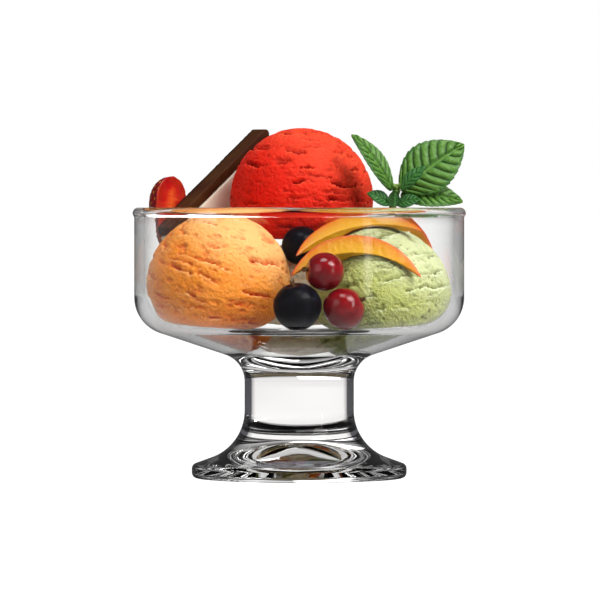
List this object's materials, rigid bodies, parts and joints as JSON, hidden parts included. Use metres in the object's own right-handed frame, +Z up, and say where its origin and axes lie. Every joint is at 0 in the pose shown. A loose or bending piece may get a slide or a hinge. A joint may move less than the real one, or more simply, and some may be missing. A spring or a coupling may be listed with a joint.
{
  "type": "parfait glass",
  "caption": "Low footed parfait glass of clear pressed glass, served with ice cream scoops, peach, currants, coconut, strawberry and a mint sprig that lift out.",
  "frame": {"origin": "centre of the ring that the foot stands on", "axes": "+Z up along the glass's axis, front of the serving towards -Y, +X to the viewer's right"},
  "size_m": [0.106, 0.106, 0.112],
  "materials": {
    "clear_glass": "fire-polished, clear",
    "orange_ice": "crumbly, matte",
    "green_ice": "crumbly, matte",
    "vanilla_ice": "crumbly, matte",
    "red_ice": "crumbly, matte",
    "blackcurrant_skin": "waxy bloom",
    "redcurrant_skin": "glossy",
    "peach_flesh": "wet, satin",
    "strawberry_flesh": "satin",
    "coconut_flesh": "smooth, matte",
    "coconut_rind": "fibrous, matte",
    "mint_leaf": "satin",
    "mint_stalk": "satin"
  },
  "bodies": {
    "glass": {"bowl": "clear_glass", "stem": "clear_glass", "foot": "clear_glass"},
    "scoop_bed": {"orange_scoop": "orange_ice", "green_scoop": "green_ice", "vanilla_scoop": "vanilla_ice", "blackcurrant_rear": "blackcurrant_skin"},
    "red_top": {"red_scoop": "red_ice"},
    "coconut_slice": {"coconut_flesh": "coconut_flesh", "coconut_rind": "coconut_rind"},
    "strawberry": {"strawberry_half": "strawberry_flesh"},
    "front_peach": {"peach_front": "peach_flesh"},
    "upper_peach": {"peach_upper": "peach_flesh"},
    "rear_peach": {"peach_rear": "peach_flesh"},
    "black_berry": {"blackcurrant": "blackcurrant_skin"},
    "redcurrants": {"currant_low": "redcurrant_skin", "currant_top": "redcurrant_skin"},
    "mint_sprig": {"mint_stalk": "mint_stalk", "mint_bud": "mint_stalk", "mint_leaf_large": "mint_leaf", "mint_leaf_left": "mint_leaf", "mint_leaf_low": "mint_leaf", "mint_leaf_young": "mint_leaf"}
  },
  "joints": [
    {"name": "scoop_bed_lift", "type": "slide", "parent": "glass", "child": "scoop_bed", "axis": [0, 0, 1], "range_m": [0, 0.1]},
    {"name": "red_lift", "type": "slide", "parent": "scoop_bed", "child": "red_top", "axis": [0, 0, 1], "range_m": [0, 0.05]},
    {"name": "coconut_lift", "type": "slide", "parent": "scoop_bed", "child": "coconut_slice", "axis": [0, 0, 1], "range_m": [0, 0.06]},
    {"name": "strawberry_lift", "type": "slide", "parent": "scoop_bed", "child": "strawberry", "axis": [0, 0, 1], "range_m": [0, 0.05]},
    {"name": "peach_front_lift", "type": "slide", "parent": "scoop_bed", "child": "front_peach", "axis": [0, 0, 1], "range_m": [0, 0.05]},
    {"name": "peach_upper_lift", "type": "slide", "parent": "scoop_bed", "child": "upper_peach", "axis": [0, 0, 1], "range_m": [0, 0.05]},
    {"name": "peach_rear_lift", "type": "slide", "parent": "scoop_bed", "child": "rear_peach", "axis": [0, 0, 1], "range_m": [0, 0.06]},
    {"name": "blackcurrant_lift", "type": "slide", "parent": "scoop_bed", "child": "black_berry", "axis": [0, 0, 1], "range_m": [0, 0.05]},
    {"name": "currants_lift", "type": "slide", "parent": "black_berry", "child": "redcurrants", "axis": [0, 0, 1], "range_m": [0, 0.03]},
    {"name": "mint_lift", "type": "slide", "parent": "scoop_bed", "child": "mint_sprig", "axis": [0, 0, 1], "range_m": [0, 0.05]}
  ]
}
